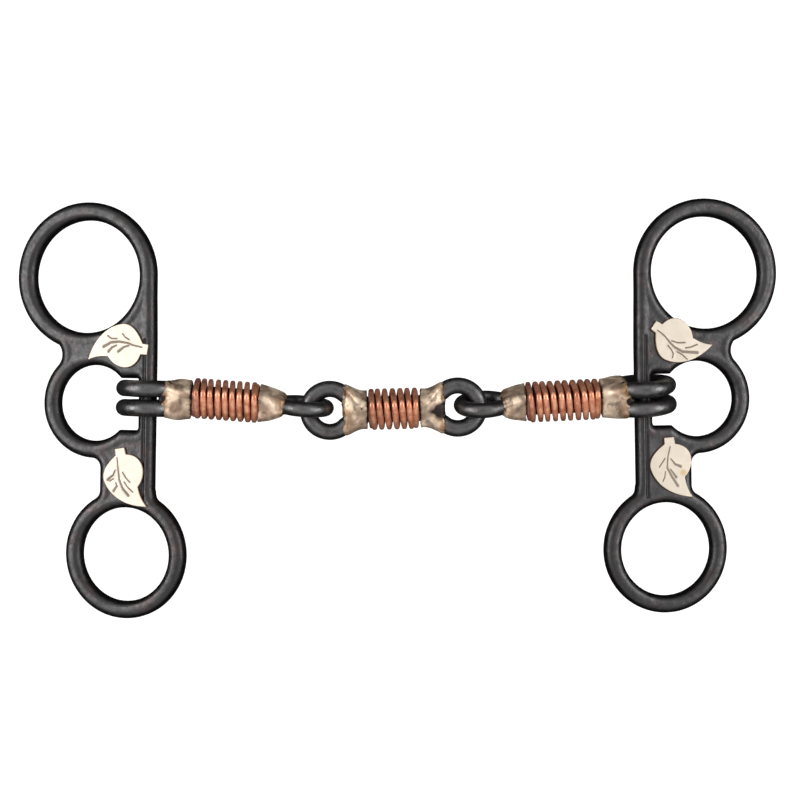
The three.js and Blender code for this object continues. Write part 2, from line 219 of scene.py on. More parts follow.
# The engraved strokes of each leaf, about its middle with its tab up: half the width at the first point,
# half the width at the last point, and the points
STROKES = {
    "right_lower": [
        (FINE, BROAD, [(-0.2, 4.2), (-0.85, 1.6), (-1.1, -1.35), (0, -3.5), (1.7, -6.2)]),
        (FINE, FINE, [(-1.7, 1.1), (-2.3, 0.2), (-3.3, -1.1)]),
        (FINE, FINE, [(-1.6, -2.4), (-1.8, -3.8), (-2.35, -4.9)]),
        (FINE, BROAD, [(-0.07, 0.95), (1.1, -0.5), (2.6, -1.1)]),
        (FINE, BROAD, [(-0.2, -1.8), (0.7, -3.1), (1.3, -3.9)]),
    ],
    "left_lower": [
        (FINE, BROAD, [(-1.4, 4.2), (-1.4, 1.7), (-1.3, -1.5), (-0.5, -4.0), (0.9, -5.9)]),
        (FINE, FINE, [(-0.2, 0.3), (0.7, -1.3), (1.7, -2.5)]),
        (FINE, FINE, [(0.1, -2.3), (1.0, -3.8), (2.3, -5.1)]),
        (FINE, BROAD, [(-2.2, 1.05), (-2.9, -0.2), (-4.5, -1.3)]),
        (FINE, FINE, [(-2.9, -1.2), (-4.0, -1.7)]),
        (FINE, BROAD, [(-2.3, -2.3), (-2.1, -3.2), (-3.1, -4.35)]),
    ],
    "left_upper": [
        (FINE, BROAD, [(-0.75, 4.9), (-0.73, 2.5), (-0.95, 0.85), (-0.77, -1.7), (-0.1, -3.8), (1.5, -5.65)]),
        (FINE, BROAD, [(-0.4, 1.3), (0.3, 0), (1.8, -1.3)]),
        (FINE, BROAD, [(0.3, -2.1), (1.1, -3.2), (2.4, -4.0)]),
        (FINE, FINE, [(-1.9, 0.95), (-2.3, -0.3), (-3.0, -1.2)]),
        (FINE, FINE, [(-1.4, -2.45), (-1.1, -4.0), (-1.6, -5.2)]),
    ],
    "right_upper": [
        (FINE, BROAD, [(-0.9, 4.9), (-0.85, 2.5), (-1.3, 0.1), (-1.4, -1.6), (-0.95, -3.9), (1.5, -7.3)]),
        (FINE, FINE, [(-0.6, 0.15), (0.1, -1.5), (1.4, -3.0)]),
        (FINE, FINE, [(0.3, -3.9), (1.4, -4.9), (3.2, -5.95)]),
        (FINE, FINE, [(-2.2, 0.2), (-2.45, -1.2), (-3.0, -2.4), (-3.9, -2.8)]),
        (FINE, FINE, [(-1.9, -2.7), (-1.6, -4.4), (-1.7, -6.2)]),
    ],
}

# ---------- number helpers ----------


def smoothstep(low, high, x):
    t = np.clip((x - low) / (high - low), 0, 1)
    return t * t * (3 - 2 * t)


def value_noise(points, size, seed):
    """Smooth noise from 0 to 1 whose bumps are about size apart."""
    count = 16
    lattice = np.random.RandomState(seed).rand(count, count, count)
    p = points / size
    base = np.floor(p).astype(int)
    f = p - base
    f = f * f * (3 - 2 * f)
    total = np.zeros(points.shape[:-1])
    for corner in np.ndindex(2, 2, 2):
        index = (base + corner) % count
        weight = np.ones(points.shape[:-1])
        for axis in range(3):
            weight = weight * (f[..., axis] if corner[axis] else 1 - f[..., axis])
        total += weight * lattice[index[..., 0], index[..., 1], index[..., 2]]
    return total


def segment_distance(x, y, start, end):
    """Distance in the plane to a segment, and how far along it the nearest point is, from 0 to 1."""
    ex, ey = end[0] - start[0], end[1] - start[1]
    t = np.clip(((x - start[0]) * ex + (y - start[1]) * ey) / (ex * ex + ey * ey), 0, 1)
    return np.hypot(x - start[0] - t * ex, y - start[1] - t * ey), t


def polygon_field(x, y, points):
    """Signed distance in the plane to a polygon, negative inside."""
    distance = np.full(np.shape(x), np.inf)
    inside = np.zeros(np.shape(x), bool)
    for i, end in enumerate(points):
        start = points[i - 1]
        distance = np.minimum(distance, segment_distance(x, y, start, end)[0])
        if start[1] != end[1]:
            crosses = (start[1] > y) != (end[1] > y)
            at = start[0] + (y - start[1]) * (end[0] - start[0]) / (end[1] - start[1])
            inside ^= crosses & (x < at)
    return np.where(inside, -distance, distance)


def rounded_slab(edge, height, half_thickness, radius):
    """Signed distance to a slab whose outline is at edge 0, with its rims rounded."""
    a = edge + radius
    b = np.abs(height) - half_thickness + radius
    return np.hypot(np.maximum(a, 0), np.maximum(b, 0)) + np.minimum(np.maximum(a, b), 0) - radius


def soft_max(a, b, k):
    h = np.clip(0.5 - 0.5 * (b - a) / k, 0, 1)
    return b * (1 - h) + a * h + k * h * (1 - h)


def uneven(p, layers, seed):
    """Noise about 0, the sum of layers that each have a height and a size."""
    return sum(height * (value_noise(p, size, seed + i) - 0.5) for i, (height, size) in enumerate(layers))


# ---------- meshes ----------


def surface_net(field, low, high, step):
    """A closed quad mesh of where field is 0, as vertices and faces."""
    low = np.array(low, float)
    counts = np.ceil((np.array(high) - low) / step).astype(int) + 1
    axes = [low[i] + step * np.arange(counts[i]) for i in range(3)]
    values = field(np.stack(np.meshgrid(*axes, indexing="ij"), axis=-1))
    cells = tuple(counts - 1)
    total = np.zeros(cells + (3,))
    crossings = np.zeros(cells)
    for axis in range(3):
        for others in np.ndindex(2, 2):
            a = np.insert(np.array(others), axis, 0)
            b = np.insert(np.array(others), axis, 1)
            va = values[tuple(slice(a[i], a[i] + cells[i]) for i in range(3))]
            vb = values[tuple(slice(b[i], b[i] + cells[i]) for i in range(3))]
            cut = (va < 0) != (vb < 0)
            t = np.where(cut, va / np.where(cut, va - vb, 1), 0)
            for i in range(3):
                total[..., i] += np.where(cut, a[i] + t * (b[i] - a[i]), 0)
            crossings += cut
    active = crossings > 0
    number = np.full(cells, -1)
    number[active] = np.arange(active.sum())
    places = np.argwhere(active) + total[active] / crossings[active][:, None]
    vertices = low + step * places
    faces = []
    inside = values < 0
    for axis in range(3):
        ahead = np.take(inside, range(1, counts[axis]), axis)
        behind = np.take(inside, range(counts[axis] - 1), axis)
        edges = np.argwhere(ahead != behind)
        outward = behind[tuple(edges.T)]
        b, c = [(1, 2), (2, 0), (0, 1)][axis]
        corners = []
        for db, dc in [(-1, -1), (0, -1), (0, 0), (-1, 0)]:
            cell = edges.copy()
            cell[:, b] += db
            cell[:, c] += dc
            corners.append(number[tuple(cell.T)])
        quads = np.stack(corners, axis=1)
        quads[~outward] = quads[~outward][:, ::-1]
        faces.append(quads)
    vertices = settle(field, vertices, step)
    return vertices, np.concatenate(faces)


def settle(field, vertices, step):
    """Moves vertices onto the surface where field is 0."""
    nudge = 0.25 * step
    for _ in range(2):
        slope = np.stack([
            field(vertices + nudge * np.eye(3)[i]) - field(vertices - nudge * np.eye(3)[i]) for i in range(3)
        ], axis=1) / (2 * nudge)
        square = np.maximum((slope**2).sum(1), 0.25)
        move = field(vertices) / square
        vertices = vertices - np.clip(move, -0.5 * step, 0.5 * step)[:, None] * slope
    return vertices


def swept_tube(path, offsets):
    """A closed tube whose sections are offsets[i][j], side and up amounts, about the points of path."""
    path = np.array(path, float)
    tangents = np.gradient(path, axis=0)
    tangents /= np.linalg.norm(tangents, axis=1)[:, None]
    side = np.cross(tangents[0], [0, 0, 1.0])
    if np.linalg.norm(side) < 0.1:
        side = np.cross(tangents[0], [0, 1.0, 0])
    rings = []
    for i, tangent in enumerate(tangents):
        side = side - tangent * side.dot(tangent)
        side /= np.linalg.norm(side)
        up = np.cross(side, tangent)
        rings.append(path[i] + offsets[i][:, :1] * side + offsets[i][:, 1:] * up)
    return join_rings(np.array(rings))


def join_rings(rings):
    """Quads between neighbouring rings of vertices, with a fan at each end."""
    count, sides = rings.shape[:2]
    vertices = rings.reshape(-1, 3)
    faces = []
    for i in range(count - 1):
        for j in range(sides):
            k = (j + 1) % sides
            faces.append((i * sides + j, i * sides + k, (i + 1) * sides + k, (i + 1) * sides + j))
    ends = [rings[0].mean(0), rings[-1].mean(0)]
    first = len(vertices)
    vertices = np.concatenate([vertices, ends])
    last_ring = (count - 1) * sides
    for j in range(sides):
        k = (j + 1) % sides
        faces.append((first, k, j))
        faces.append((first + 1, last_ring + j, last_ring + k))
    return vertices, faces


def add_piece(node, body, look, vertices, faces, place, marks=None):
    """Makes the fine mesh that stands for a CAD node. place takes its millimetres to the row frame."""
    mesh = bpy.data.meshes.new("fine_" + node)
    m = np.array(place)
    world = vertices @ m[:3, :3].T + m[:3, 3]
    faces = [tuple(int(i) for i in f) for f in faces]
    if np.linalg.det(m[:3, :3]) < 0:
        faces = [f[::-1] for f in faces]
    mesh.from_pydata(world.tolist(), [], faces)
    mesh.update()
    mesh.shade_smooth()
    for name, values in (marks or {}).items():
        attribute = mesh.attributes.new(name, "FLOAT", "POINT")
        attribute.data.foreach_set("value", np.asarray(values, np.float32))
    mesh.materials.append(look)
    piece = bpy.data.objects.new("fine_" + node, mesh)
    bpy.context.scene.collection.objects.link(piece)
    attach(piece, body)
    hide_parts(node)


# ---------- frames ----------


def cad_vertices(node):
    """The different corners of a CAD node, in the row frame, in metres."""
    co = np.array([v.co for v in frame["nodes"][node].data.vertices], float)
    return np.unique(np.round(co, 7), axis=0)


def place_of(x_axis, y_axis, origin):
    """A matrix from millimetres in a frame to metres in the row frame."""
    x_axis, y_axis = Vector(x_axis).normalized(), Vector(y_axis).normalized()
    z_axis = x_axis.cross(y_axis)
    matrix = Matrix((x_axis, y_axis, z_axis)).transposed().to_4x4()
    return Matrix.Translation(origin) @ matrix @ Matrix.Scale(MM, 4)


def cheek_place(name):
    """A cheek's frame: x runs toward the bit's right, y runs up its post and z out of its face."""
    joint = [j for j in frame["joints"] if j["name"] == name + "_swivel"][0]
    mount = [m for m in frame["record"]["mounts"] if m["name"] == name + "_curb_strap"][0]
    up = Vector(joint["axis"])
    if up.y < 0:
        up = -up
    across = Vector(mount["axis"])
    if across.x < 0:
        across = -across
    return place_of(across, up, joint["pos_m"])


def bar_place(core, roll):
    """A bar's frame: x runs along it to the bit's right, and y and z square to its flats."""
    corners = cad_vertices(core)
    middle = corners.mean(0)
    direction = Vector(np.linalg.svd(corners - middle)[2][0])
    if direction.x < 0:
        direction = -direction
    turn = Vector((1, 0, 0)).rotation_difference(direction)
    turn = turn @ Quaternion((1, 0, 0), math.radians(roll))
    return Matrix.Translation(middle) @ turn.to_matrix().to_4x4() @ Matrix.Scale(MM, 4)


def ring_place(node, core, radius, rod):
    """A ring's frame: x runs from its middle to its bar, and y is the normal of its plane."""
    corners = cad_vertices(node)
    middle = corners.mean(0)
    normal = np.linalg.svd(corners - middle)[2][2]
    if normal[1] + normal[2] < 0:
        normal = -normal
    toward = cad_vertices(core).mean(0) - middle
    toward -= normal * toward.dot(normal)
    toward /= np.linalg.norm(toward)
    tip = ((corners - middle) @ toward).min()
    origin = middle + toward * (tip + (radius + rod * math.cos(math.pi / CAD_SECTION_SIDES)) * MM)
    return place_of(toward, normal, origin)


# ---------- cheeks ----------


def ring_band(u, v, ring, swell=0.0):
    """A ring's outline. Its rod is wider on the outer side by twice the swell."""
    outside = np.hypot(u - ring[0] - swell, v - ring[1]) - ring[2] - CHEEK_ROD_RADIUS - swell
    return np.maximum(outside, ring[2] - CHEEK_ROD_RADIUS - np.hypot(u - ring[0], v - ring[1]))


def disc(u, v, at_u, at_v, radius):
    return np.hypot(u - at_u, v - at_v) - radius


def hole(u, v, ring):
    return disc(u, v, ring[0], ring[1], ring[2])


def fillet_between(first, second, radius):
    """The middle of a fillet that touches two rings' outsides on their outer side."""
    reach_a = first[2] + CHEEK_ROD_RADIUS + radius
    reach_b = second[2] + CHEEK_ROD_RADIUS + radius
    du, dv = second[0] - first[0], second[1] - first[1]
    gap = math.hypot(du, dv)
    along = (reach_a**2 - reach_b**2 + gap**2) / (2 * gap)
    across = math.sqrt(reach_a**2 - along**2)
    return first[0] + (along * du - across * dv) / gap, first[1] + (along * dv + across * du) / gap


def fillet_height(ring, fillet_u, radius):
    """How far above or below a ring's middle a fillet beside the line at u touches both."""
    return math.sqrt((ring[2] + CHEEK_ROD_RADIUS + radius) ** 2 - (fillet_u - ring[0]) ** 2)


def upper_web(u, v):
    valley = fillet_between(UPPER_RING, MIDDLE_RING, VALLEY_FILLET)
    outline = [
        (POST_AXIS_U, SLOT_TOP_V), (SLOT_END_U, SLOT_TOP_V), MIDDLE_RING[:2], valley,
        UPPER_RING[:2], (POST_AXIS_U, UPPER_RING[1]),
    ]
    web = polygon_field(u, v, outline)
    cuts = [disc(u, v, *valley, VALLEY_FILLET), hole(u, v, UPPER_RING), hole(u, v, MIDDLE_RING)]
    return np.maximum.reduce([web] + [-cut for cut in cuts])


def lower_web(u, v):
    waist = WAIST_U + WAIST_FILLET
    high = MIDDLE_RING[1] - fillet_height(MIDDLE_RING, waist, WAIST_FILLET)
    low = LOWER_RING[1] + fillet_height(LOWER_RING, waist, WAIST_FILLET)
    post_v = LOWER_RING[1] + fillet_height(LOWER_RING, -POST_FILLET, POST_FILLET)
    outline = [
        (POST_AXIS_U, SLOT_BOTTOM_V), (POST_AXIS_U, post_v), (-POST_FILLET, post_v), LOWER_RING[:2],
        (waist, low), (waist, high), MIDDLE_RING[:2], (SLOT_END_U, SLOT_BOTTOM_V),
    ]
    web = polygon_field(u, v, outline)
    waist_box = np.maximum(WAIST_U - u, np.abs(v - (low + high) / 2) - (high - low) / 2)
    cuts = [
        disc(u, v, -POST_FILLET, post_v, POST_FILLET),
        disc(u, v, waist, high, WAIST_FILLET),
        disc(u, v, waist, low, WAIST_FILLET),
        waist_box,
        hole(u, v, MIDDLE_RING),
        hole(u, v, LOWER_RING),
    ]
    return np.maximum.reduce([web] + [-cut for cut in cuts])


def silhouette(u, v):
    """Negative inside the cheek's outline. Only its sign and its zero line are exact."""
    slot = np.maximum.reduce([-u, u - SLOT_END_U, v - SLOT_TOP_V, SLOT_BOTTOM_V - v])
    post_middle = (UPPER_RING[1] + POST_BOTTOM_V) / 2
    post_half = (UPPER_RING[1] - POST_BOTTOM_V) / 2
    post_edge = POST_LEAN * smoothstep(POST_LEAN_FROM, UPPER_RING[1], v)
    post = np.maximum.reduce([post_edge - u, u - POST_WIDTH, np.abs(v - post_middle) - post_half])
    webs = np.minimum(upper_web(u, v), lower_web(u, v))
    return np.minimum.reduce([
        ring_band(u, v, UPPER_RING, UPPER_SWELL),
        ring_band(u, v, LOWER_RING),
        np.maximum(ring_band(u, v, MIDDLE_RING), -slot),
        -soft_max(-webs, -post, SLOT_CORNER),
    ])


def contour_points():
    """Points close together all along the cheek's outline."""
    us = np.arange(CHEEK_LOW[0], CHEEK_HIGH[0], CONTOUR_STEP)
    vs = np.arange(CHEEK_LOW[1], CHEEK_HIGH[1], CONTOUR_STEP)
    values = silhouette(*np.meshgrid(us, vs, indexing="ij"))
    found = []
    for axis, da, db in ((0, CONTOUR_STEP, 0), (1, 0, CONTOUR_STEP)):
        a = values[:-1, :] if axis == 0 else values[:, :-1]
        b = values[1:, :] if axis == 0 else values[:, 1:]
        i, j = np.nonzero((a < 0) != (b < 0))
        t = a[i, j] / (a[i, j] - b[i, j])
        found.append(np.stack([us[i] + t * da, vs[j] + t * db], axis=1))
    return np.concatenate(found)


def edge_table():
    """The true distance to the cheek's outline on a grid, negative inside."""
    points = contour_points()
    tree = kdtree.KDTree(len(points))
    for i, (u, v) in enumerate(points):
        tree.insert((u, v, 0), i)
    tree.balance()
    us = np.arange(CHEEK_LOW[0], CHEEK_HIGH[0], EDGE_STEP)
    vs = np.arange(CHEEK_LOW[1], CHEEK_HIGH[1], EDGE_STEP)
    rough = silhouette(*np.meshgrid(us, vs, indexing="ij"))
    table = np.where(rough < 0, -EDGE_FAR, EDGE_FAR)
    for i, j in np.argwhere(np.abs(rough) < EDGE_FAR):
        distance = tree.find((us[i], vs[j], 0))[2]
        table[i, j] = math.copysign(min(distance, EDGE_FAR), rough[i, j])
    return table


def read_table(table, u, v):
    """The distance at any place, blended from the four nearest places of the grid."""
    i = np.clip((u - CHEEK_LOW[0]) / EDGE_STEP, 0, table.shape[0] - 1.001)
    j = np.clip((v - CHEEK_LOW[1]) / EDGE_STEP, 0, table.shape[1] - 1.001)
    i0, j0 = i.astype(int), j.astype(int)
    a, b = i - i0, j - j0
    low = table[i0, j0] * (1 - a) + table[i0 + 1, j0] * a
    high = table[i0, j0 + 1] * (1 - a) + table[i0 + 1, j0 + 1] * a
    return low * (1 - b) + high * b


def cheek_field(table, seed):
    """A cheek as a field for surface_net: a slab with round rims, a sunk web and a crease along its post."""
    def field(p):
        u, v, z = p[..., 0], p[..., 1], p[..., 2]
        edge = read_table(table, u, v)
        flat = np.stack([u, v, 0 * z + seed], axis=-1)
        recess = WEB_RECESS * smoothstep(*WEB_SLOPE, -edge)
        dents = DENT_DEPTH * (value_noise(flat, DENT_SIZE, seed) - 0.5)
        body = rounded_slab(edge, z, CHEEK_ROD_RADIUS - recess + dents, EDGE_ROUND)
        in_span = np.maximum(POST_BOTTOM_V - v, v - CREASE_TOP_V)
        crease = np.hypot(u - CREASE_U, np.abs(z) - CHEEK_ROD_RADIUS - CREASE_RISE) - CREASE_RADIUS
        crease = np.maximum(crease, 0.5 * in_span)
        return soft_max(body, -crease, CREASE_SOFTNESS)
    return field


def crease_shade(p):
    """Painted shade in the crease along the post: 1 in the crease and 0 a little way off it."""
    near = smoothstep(*CREASE_SHADE, np.abs(p[:, 0] - CREASE_U))
    return near * (p[:, 1] > POST_BOTTOM_V) * (p[:, 1] < CREASE_TOP_V)


def build_cheeks(look):
    table = edge_table()
    for name, side in SIDES.items():
        low = (*CHEEK_LOW, -CHEEK_GRID_TOP)
        high = (*CHEEK_HIGH, CHEEK_GRID_TOP)
        field = cheek_field(table, 7 + side)
        vertices, faces = surface_net(field, low, high, CHEEK_STEP)
        edge = read_table(table, vertices[:, 0], vertices[:, 1])
        # Painted shade: darker along the rounded rims and hole walls, and in the crease along the post
        painted_shade = np.maximum(smoothstep(*WALL_SHADE, -edge), crease_shade(vertices))
        local = vertices * (side, 1, 1) - (side * POST_AXIS_U, 0, 0)
        if side < 0:
            faces = faces[:, ::-1]
        marks = {"painted_shade": painted_shade}
        add_piece(name + "_cheek", name + "_cheek", look, local, faces, cheek_place(name), marks)


# ---------- leaves ----------


def bezier(a, b, c, d, count=14):
    t = np.linspace(0, 1, count + 1)[1:, None]
    a, b, c, d = (np.array(p, float) for p in (a, b, c, d))
    return a * (1 - t) ** 3 + 3 * b * t * (1 - t) ** 2 + 3 * c * t**2 * (1 - t) + d * t**3


def leaf_outline():
    """A rounded leaf with a square stem tab at the top and a tip curled to one side."""
    points = [np.array([(-1.9, 6.6), (-1.8, 4.9)])]
    points.append(bezier((-1.8, 4.9), (-4.6, 2.9), (-6.4, 0.6), (-5.6, -1.8)))
    points.append(bezier((-5.6, -1.8), (-4.4, -5.6), (-0.4, -8.9), (6.0, -9.3)))
    points.append(bezier((6.0, -9.3), (4.6, -7.5), (4.1, -5.9), (3.8, -3.9)))
    points.append(bezier((3.8, -3.9), (6.6, -1.2), (6.6, 4.4), (1.2, 5.0)))
    points.append(np.array([(0.9, 6.8)]))
    return [tuple(p) for p in np.concatenate(points)]


def stroke_depth(x, y, strokes):
    """From 0 on the leaf's face to 1 at the bottom of a stroke, and the lip beside it."""
    cut = np.zeros(np.shape(x))
    lip = np.zeros(np.shape(x))
    for first, last, points in strokes:
        spans = len(points) - 1
        for i in range(spans):
            distance, t = segment_distance(x, y, points[i], points[i + 1])
            along = (i + t) / spans
            width = first + (last - first) * along
            cut = np.maximum(cut, np.clip(1 - distance / width, 0, 1) ** 0.7)
            lip = np.maximum(lip, np.exp(-(((distance - 1.5 * width) / STROKE_LIP_WIDTH) ** 2)))
    return cut, lip


def leaf_field(strokes, seed):
    outline = leaf_outline()

    def field(p):
        x, y, z = p[..., 0], p[..., 1], p[..., 2]
        edge = polygon_field(x, y, outline)
        half = LEAF_HEIGHT / 2
        plate = rounded_slab(edge, z - half, half, LEAF_BEVEL)
        cut, lip = stroke_depth(x, y, strokes)
        flat = np.stack([x, y, 0 * z], axis=-1)
        wave = WAVE_HEIGHT * (value_noise(flat, WAVE_SIZE, seed) - 0.5)
        top = LEAF_HEIGHT + STROKE_LIP * lip - STROKE_DEPTH * cut + wave - 0.02
        return np.maximum(plate, z - top)
    return field


def build_leaves(look):
    for index, (name, (u, v, turn)) in enumerate(LEAVES.items()):
        side_name = name.split("_")[0]
        side = SIDES[side_name]
        strokes = STROKES[name]
        field = leaf_field(strokes, 20 + index)
        vertices, faces = surface_net(field, LEAF_LOW, LEAF_HIGH, LEAF_STEP)
        x, y, z = vertices.T
        cut = stroke_depth(x, y, strokes)[0] * (z > 0.25)
        marks = {
            "cut": cut,
            # Painted shade along the leaf's edge
            "painted_rim_shade": smoothstep(*LEAF_RIM_SHADE, polygon_field(x, y, leaf_outline())),
            # Painted light and shade: the left leaves are painted lighter and the right leaves darker, for how
            # each side's tilt catches the lamps
            "painted_side_shade": 0 * x + (side > 0),
            "stain": smoothstep(1.3, 0.3, np.hypot(x - 3.3, y + 2.7)) * (name == "right_lower"),
        }
        seat = Matrix.Translation((side * (u - POST_AXIS_U), v, LEAF_SEAT))
        place = cheek_place(side_name) @ seat @ Matrix.Rotation(math.radians(turn), 4, "Z")
        body = side_name + "_cheek"
        add_piece(name + "_leaf", body, look, vertices, faces, place, marks)


# ---------- rings and loops ----------


def hairpin_path(radius, end_x):
    """A ring about the origin whose two tails run on to the bar at end_x, in the XZ plane."""
    start = np.array([radius * math.cos(TAIL_ANGLE), 0, radius * math.sin(TAIL_ANGLE)])
    heading = np.array([math.sin(TAIL_ANGLE), 0, -math.cos(TAIL_ANGLE)])
    end = np.array([end_x, 0, TAIL_SPREAD])
    pull = TAIL_PULL * np.linalg.norm(end - start)
    tail = bezier(start, start + pull * heading, end - (pull, 0, 0), end, 20)
    angles = np.linspace(TAIL_ANGLE, 2 * math.pi - TAIL_ANGLE, 73)
    arc = np.stack([radius * np.cos(angles), 0 * angles, radius * np.sin(angles)], axis=1)
    mirror = np.array([1, 1, -1])
    return np.concatenate([tail[::-1], arc, tail * mirror])


def rod_sections(path, radius, seed):
    """Round sections with the shallow flats and dents of a hand-bent rod."""
    angles = np.linspace(0, 2 * math.pi, ROD_SIDES, endpoint=False)
    circle = np.stack([np.cos(angles), np.sin(angles)], axis=1)
    sections = []
    for point in path:
        around = point + np.stack([circle[:, 0] * radius, circle[:, 1] * radius, 0 * angles], axis=1)
        broad = value_noise(around, 5.0, seed) - 0.5
        small = value_noise(around, 1.6, seed + 1) - 0.5
        reach = radius * (1 + 0.07 * broad + 0.02 * small) - ROD_SHRINK
        sections.append(circle * reach[:, None])
    return sections


def build_ring(node, body, core, radius, rod, end_x, look, seed):
    """A ring whose tails stop at end_x, inside the braze."""
    path = hairpin_path(radius, end_x + 3 * rod)
    path = path[path[:, 0] < end_x]
    vertices, faces = swept_tube(path, rod_sections(path, rod, seed))
    add_piece(node, body, look, vertices, faces, ring_place(node, core, radius, rod))


# ---------- windings and cores ----------


def square_reach(angle, half_side, squareness):
    """How far a rounded square reaches at an angle. It is squarer the higher the squareness."""
    sum_of_powers = np.abs(np.cos(angle)) ** squareness + np.abs(np.sin(angle)) ** squareness
    return half_side / sum_of_powers ** (1 / squareness)


def wire_width(angle, pitch):
    """Half the wire's width along the bar: widest on two of the flats, pinched where it rounds a corner."""
    corner = np.abs(np.sin(2 * angle)) ** 6
    narrow_flat = np.cos(angle) ** 2
    return pitch * (WIRE_HALF_WIDTH - WIRE_FLAT_LOSS * narrow_flat - WIRE_CORNER_LOSS * corner)


def build_winding(name, place, look, seed):
    """One wire. Its first and last turns lie flat against the brazes and sink in under their neighbours."""
    length, turns, _ = WINDINGS[name]
    run = length + WIRE_OVERRUN
    pitch = run / turns
    wound = turns + 1
    steps = int(wound * WIRE_STEPS_PER_TURN)
    section = np.linspace(0, 2 * math.pi, WIRE_SIDES, endpoint=False)
    bead = np.sign(np.cos(section)) * np.abs(np.cos(section)) ** BEAD_POWER
    crown = np.sign(np.sin(section)) * np.abs(np.sin(section)) ** CROWN_POWER
    rings = []
    turn_marks = []
    random = np.random.RandomState(seed)
    whole_turns = np.arange(math.ceil(wound) + 1)
    shifts = random.uniform(-TURN_SHIFT, TURN_SHIFT, len(whole_turns))
    turn_shift = np.interp(np.linspace(0, wound, steps + 1), whole_turns, shifts)
    for i, t in enumerate(np.linspace(0, 1, steps + 1)):
        angle = t * wound * 2 * math.pi
        radial = np.array([0, math.cos(angle), math.sin(angle)])
        dive = smoothstep(1, 0, t * wound) + smoothstep(1, 0, (1 - t) * wound)
        reach = square_reach(angle, WIRE_PATH_HALF_SIDE, BAR_SQUARENESS) - END_DIVE * dive
        along = np.clip((t - 0.5) * wound * pitch, (pitch - run) / 2, (run - pitch) / 2)
        middle = np.array([along + turn_shift[i] * pitch, 0, 0]) + reach * radial
        width = wire_width(angle, pitch) * (1 + 0.6 * turn_shift[i])
        ring = middle + np.outer(bead * width, [1, 0, 0]) + np.outer(crown * WIRE_THICKNESS, radial)
        rings.append(ring)
        turn_marks += [t] * WIRE_SIDES
    vertices, faces = join_rings(np.array(rings))
    vertices = vertices + uneven(vertices, WIRE_LAYERS, seed)[:, None] * (0, 1, 1)
    marks = {"turn": turn_marks + [turn_marks[0], turn_marks[-1]]}
    add_piece(name + "_copper_wire", name, look, vertices, faces, place, marks)


def build_core(name, place, look):
    length = WINDINGS[name][0] + CORE_OVERRUN
    angles = np.linspace(0, 2 * math.pi, 48, endpoint=False)
    reach = square_reach(angles, CORE_HALF_SIDE, CORE_SQUARENESS)
    rings = []
    for x in np.linspace(-length / 2, length / 2, 40):
        rings.append(np.stack([0 * angles + x, reach * np.cos(angles), reach * np.sin(angles)], axis=1))
    vertices, faces = join_rings(np.array(rings))
    add_piece(name + "_core", name, look, vertices, faces, place)


# ---------- brazes ----------


def braze_field(shape, seed, pits):
    """A lump of braze from the fork of a ring's tails to the end of the winding."""
    start, far = shape["start"], shape["far"]

    def field(p):
        x, y, z = p[..., 0], p[..., 1], p[..., 2]
        ragged = uneven(p, EDGE_LAYERS, seed)
        along = x - start - ragged + shape["tongue"] * np.exp(-((y / TONGUE_WIDTH) ** 2))
        coat = COAT * (smoothstep(0.0, COAT_RUN, along) - 0.5)
        part = np.clip((x - start) / (far - start), 0, 1)
        swell = part**SWELL_POWER
        blend = smoothstep(0.0, BLEND_END, part)
        turn = shape["twist"] * blend
        across = y * np.cos(turn) + z * np.sin(turn)
        height = z * np.cos(turn) - y * np.sin(turn)
        half_y = shape["near_half"] + (BAR_HALF_SIDE - shape["near_half"]) * swell + coat
        half_z = shape["near_tall"] + (BAR_HALF_SIDE - shape["near_tall"]) * blend + coat
        corner = RING_END_CORNER * shape["rod"] * (1 - blend) + WIRE_END_CORNER * blend
        a = np.abs(across) - half_y + corner
        b = np.abs(height) - half_z + corner
        loft = np.hypot(np.maximum(a, 0), np.maximum(b, 0)) + np.minimum(np.maximum(a, b), 0) - corner
        loft = 0.8 * (loft + uneven(p, FACE_LAYERS, seed + 2))
        ends = np.maximum(x - far + 0.3 * value_noise(p, 0.8, seed + 4), -along)
        body = soft_max(loft, ends, END_SOFTNESS)
        body = soft_max(body, shape["hole"] - np.hypot(x, z), HOLE_SOFTNESS)
        for pit in pits:
            body = soft_max(body, pit[3] - np.linalg.norm(p - np.array(pit[:3]), axis=-1), PIT_SOFTNESS)
        return body
    return field


def scattered_pits(start, far, seed):
    """Small pits in a braze's faces, each as x, y, z and radius."""
    random = np.random.RandomState(seed)
    pits = []
    for _ in range(PIT_COUNT):
        angle = random.uniform(0, 2 * math.pi)
        reach = square_reach(angle, BAR_HALF_SIDE, BAR_SQUARENESS) - random.uniform(0, PIT_SINK)
        pits.append((
            random.uniform(start + 1.5, far - 0.4),
            reach * math.cos(angle),
            reach * math.sin(angle),
            random.uniform(*PIT_RADIUS),
        ))
    return pits


def build_braze(node, body, place, shape, look, seed):
    start, far = shape["start"], shape["far"]
    field = braze_field(shape, seed, scattered_pits(start, far, seed))
    wide = 1.3 * BAR_HALF_SIDE + BRAZE_ROOM
    tall = max(wide, shape["near_tall"] + BRAZE_ROOM)
    low, high = (start - 1.4, -wide, -tall), (far + 0.6, wide, tall)
    vertices, faces = surface_net(field, low, high, BRAZE_STEP)
    x, y, z = vertices.T
    ragged = uneven(vertices, STAIN_LAYERS, seed + 5)
    along = x - start + ragged
    near_ring = smoothstep(RING_STAIN, 0.0, along)
    near_wire = smoothstep(WIRE_STAIN, 0.0, far - x + 0.4 * ragged)
    burn = smoothstep(*BURN_EDGE, along) * np.exp(-((y / BURN_WIDTH) ** 2)) * (shape["tongue"] > 0)
    spread = (along / SCORCH_REACH) ** 2 + ((z - SCORCH_Z) / SCORCH_WIDTH) ** 2
    scorch = np.exp(-spread) * shape["scorched"]
    marks = {"near_ring": near_ring, "near_wire": near_wire, "burn": np.maximum(burn, scorch)}
    add_piece(node, body, look, vertices, faces, place, marks)


# ---------- materials ----------


